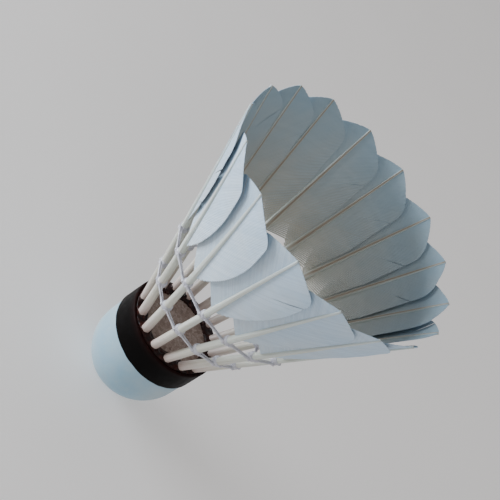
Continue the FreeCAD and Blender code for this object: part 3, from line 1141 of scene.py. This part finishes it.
# %% Build the thread tree
def thread_tree():
    """Lays two plies round a path, each a fine round cord, and makes them one mesh."""
    tree, given, result = new_tree(
        "lay_thread",
        (
            ("Ply Radius", "Float", 0.1 * MM),
            ("Lay Length", "Float", 0.8 * MM),
            ("Point Spacing", "Float", 0.12 * MM),
            ("Sides", "Int", 6),
            ("Material", "Material", None),
        ),
    )
    even = add_node(
        tree,
        "GeometryNodeResampleCurve",
        {"mode": "LENGTH"},
        Curve=given["Geometry"],
        Length=given["Point Spacing"],
    ).outputs["Curve"]
    # A ply's angle round the path grows with the distance along it
    run = add_node(tree, "GeometryNodeSplineParameter").outputs["Length"]
    lays = math_node(tree, "DIVIDE", run, given["Lay Length"])
    turn = math_node(tree, "MULTIPLY", lays, 2 * math.pi)
    normal = add_node(tree, "GeometryNodeInputNormal").outputs["Normal"]
    tangent = add_node(tree, "GeometryNodeInputTangent").outputs["Tangent"]
    radius = given["Ply Radius"]
    circle = {"Resolution": given["Sides"], "Radius": radius}
    section = add_node(tree, "GeometryNodeCurvePrimitiveCircle", **circle).outputs["Curve"]
    plies = tree.nodes.new("GeometryNodeJoinGeometry")
    for start in (0.0, math.pi):
        side = add_node(
            tree,
            "ShaderNodeVectorRotate",
            {"rotation_type": "AXIS_ANGLE"},
            Vector=normal,
            Axis=tangent,
            Angle=math_node(tree, "ADD", turn, start),
        ).outputs["Vector"]
        scale = {"operation": "SCALE"}
        shift = add_node(tree, "ShaderNodeVectorMath", scale, i0=side, Scale=radius)
        path = moved(tree, even, shift.outputs["Vector"])
        ply = add_node(tree, "GeometryNodeCurveToMesh", Curve=path, Profile_Curve=section)
        tree.links.new(ply.outputs["Mesh"], plies.inputs["Geometry"])
    thread = realized(tree, plies.outputs["Geometry"])
    return paint_and_end(tree, thread, given["Material"], result)


THREAD_TREE = thread_tree()
print("thread tree:", len(THREAD_TREE.nodes), "nodes")

# %% [markdown]
# ### The lacquer
# The lacquer fills the hollows between the turns of thread and hangs on the spans in beads. It is a
# lumpy collar on each quill and a lumpy cord between one quill and the next.

# %% Make the lacquer
COLLAR = {"half": 0.85 * MM, "depth": 0.34 * MM, "tuck": 0.04 * MM, "rings": 14, "sides": 30}
COLLAR_LUMPS = {"size": 0.8 * MM, "out": 0.12 * MM, "along": 0.25 * MM}
SPAN = {"steps": 20, "sides": 12, "middle": 0.216 * MM, "swell": 0.297 * MM, "slope": 0.35 * MM}
SPAN_END = (0.8, 0.6)
SPAN_LUMPS = {"size": 0.7 * MM, "share": 0.35}


def collar(number, row_height, seed):
    """Lacquer round one quill's turns: a band of rings round the quill, thin at its ends."""
    points = []
    for ring in range(COLLAR["rings"]):
        share = 2 * ring / (COLLAR["rings"] - 1) - 1
        height = row_height + share * COLLAR["half"]
        depth = COLLAR["depth"] * math.sqrt(max(0, 1 - share**2)) - COLLAR["tuck"]
        for side in range(COLLAR["sides"]):
            out = outward(2 * math.pi * side / COLLAR["sides"])
            place = out * (shaft_radius(height) + depth) + Vector((0, 0, height))
            lump = noise.noise(place / COLLAR_LUMPS["size"] + Vector((seed, number, 0)))
            slide = Vector((0, 0, share * lump * COLLAR_LUMPS["along"]))
            points.append(place + out * lump * COLLAR_LUMPS["out"] + slide)
    placed = [Vector(place) for place in bent_and_placed(points, number)]
    return placed, tube_faces(COLLAR["rings"], COLLAR["sides"])


def span_radius(share):
    """A span's lacquer is thicker at its ends."""
    return SPAN["middle"] + SPAN["swell"] * abs(2 * share - 1) ** 4


def span(start, end, seed):
    """A lumpy cord of lacquer from one quill to the next."""
    points = []
    ahead = end - start
    first = ahead.cross(Vector((0, 0, 1))).normalized()
    second = ahead.cross(first).normalized()
    for step in range(SPAN["steps"] + 1):
        share = step / SPAN["steps"]
        centre = start.lerp(end, share)
        for side in range(SPAN["sides"]):
            angle = 2 * math.pi * side / SPAN["sides"]
            out = (first * math.cos(angle) + second * math.sin(angle)) * span_radius(share)
            place = (centre + out) / SPAN_LUMPS["size"] + Vector((seed, 0, 0))
            points.append(centre + out * (1 + SPAN_LUMPS["share"] * noise.noise(place)))
    return points, tube_faces(SPAN["steps"] + 1, SPAN["sides"])


def lacquer_row(name, row_height, seed):
    """All of one row's lacquer as one piece."""
    points = []
    faces = []
    out, beside = (share * (shaft_radius(row_height) + THREAD_RADIUS) for share in SPAN_END)
    for number in range(FEATHERS):
        leaving = (out, beside, row_height + SPAN["slope"])
        arriving = (out, -beside, row_height - SPAN["slope"])
        start = Vector(bent_and_placed([leaving], number)[0])
        end = Vector(bent_and_placed([arriving], number + 1)[0])
        for made in (collar(number, row_height, seed), span(start, end, seed + number)):
            faces += [tuple(len(points) + corner for corner in face) for face in made[1]]
            points += made[0]
    return new_object(name, points, faces)


print("a row's lacquer has", FEATHERS, "collars and as many spans")

# %% Lay both rows
for row, height in (("lower", LOW_ROW), ("upper", HIGH_ROW)):
    guide = path_curve(f"{row}_thread_look", thread_path(height))
    laid = grow(guide, THREAD_TREE, ply_radius=THREAD_RADIUS / 2, material=THREAD)
    laid.data.polygons.foreach_set("use_smooth", [True] * len(laid.data.polygons))
    finish_piece(laid, "thread", THREAD, f"{row}_thread")
    coat = lacquer_row(f"{row}_thread_lacquer", height, 1 + (row == "upper"))
    finish_piece(coat, "thread", LACQUER, f"{row}_thread")

# %% [markdown]
# ## Floor, light and camera
# A pale floor and two large soft lights are enough. The key stands low, so that it runs along the
# outside of the skirt and hardly shines into its mouth, and a weak one fills from above. The sky is
# a pale grey and the floor is made to glow faintly, a painted light that brightens it and lights the
# shuttlecock, so nothing inside the skirt goes black.

# %% Floor
FLOOR_REACH = 3.0
FLOOR_GLOW = 0.27


def pale_floor():
    """A matt sheet that the shuttlecock stands on."""
    side = FLOOR_REACH
    points = [(-side, -side, 0), (side, -side, 0), (side, side, 0), (-side, side, 0)]
    floor = new_object("floor", points, [(0, 1, 2, 3)], smooth=False)
    material, tree, shader = new_material("pale_floor", 0.9)
    wash = noise_value(tree, object_place(tree), 60.0, 2.0)
    colour = ramp(tree, wash, (0.3, (0.80, 0.77, 0.76)), (0.7, (0.83, 0.80, 0.79)))
    tree.links.new(colour, shader.inputs["Base Color"])
    # Painted light: the floor glows faintly though it is no lamp, which brightens it and lights the
    # skirt
    shader.inputs["Emission Color"].default_value = (1.0, 0.98, 0.97, 1)
    shader.inputs["Emission Strength"].default_value = FLOOR_GLOW
    floor.data.materials.append(material)
    return floor


pale_floor()
print("floor is", 2 * FLOOR_REACH, "m wide")

# %% Camera
CAMERA_PLACE = Vector((212.5, -12.3, 194.3)) * MM
CAMERA_TURN = (40.73, -44.10, 127.15)
CAMERA_LENS = 79.0

camera = add_to_scene("camera", bpy.data.cameras.new("camera"))
camera.location = CAMERA_PLACE
camera.rotation_euler = Euler([math.radians(angle) for angle in CAMERA_TURN])
camera.data.lens = CAMERA_LENS
camera.data.sensor_width = 36
camera.data.clip_start = 0.01
bpy.context.scene.camera = camera
print("camera is", round(CAMERA_PLACE.length, 3), "m from the nose")

# %% Lights
def soft_light(name, place, aim, power, size, colour):
    """An area light of a given width and height that points at a place."""
    data = bpy.data.lights.new(name, "AREA")
    data.shape = "RECTANGLE"
    data.energy = power
    data.size, data.size_y = size
    data.color = colour
    light = add_to_scene(name, data)
    light.location = place
    light.rotation_euler = (Vector(aim) - Vector(place)).to_track_quat("-Z", "Y").to_euler()


MIDDLE = (0, 0, 0.04)
soft_light("key", (0.10, -0.50, 0.07), MIDDLE, 4.2, (0.34, 0.10), (0.90, 0.955, 1.0))
soft_light("fill", (0.45, 0.20, 0.30), MIDDLE, 0.45, (0.30, 0.30), (1.0, 0.985, 0.95))

SKY_STRENGTH = 0.42
sky = bpy.data.worlds.new("soft_sky")
sky.use_nodes = True
shown = sky.node_tree.nodes["Background"]
shown.inputs["Color"].default_value = (0.95, 0.95, 0.95, 1)
shown.inputs["Strength"].default_value = SKY_STRENGTH
bpy.context.scene.world = sky
print("lights:", len(bpy.data.lights), "and a sky")
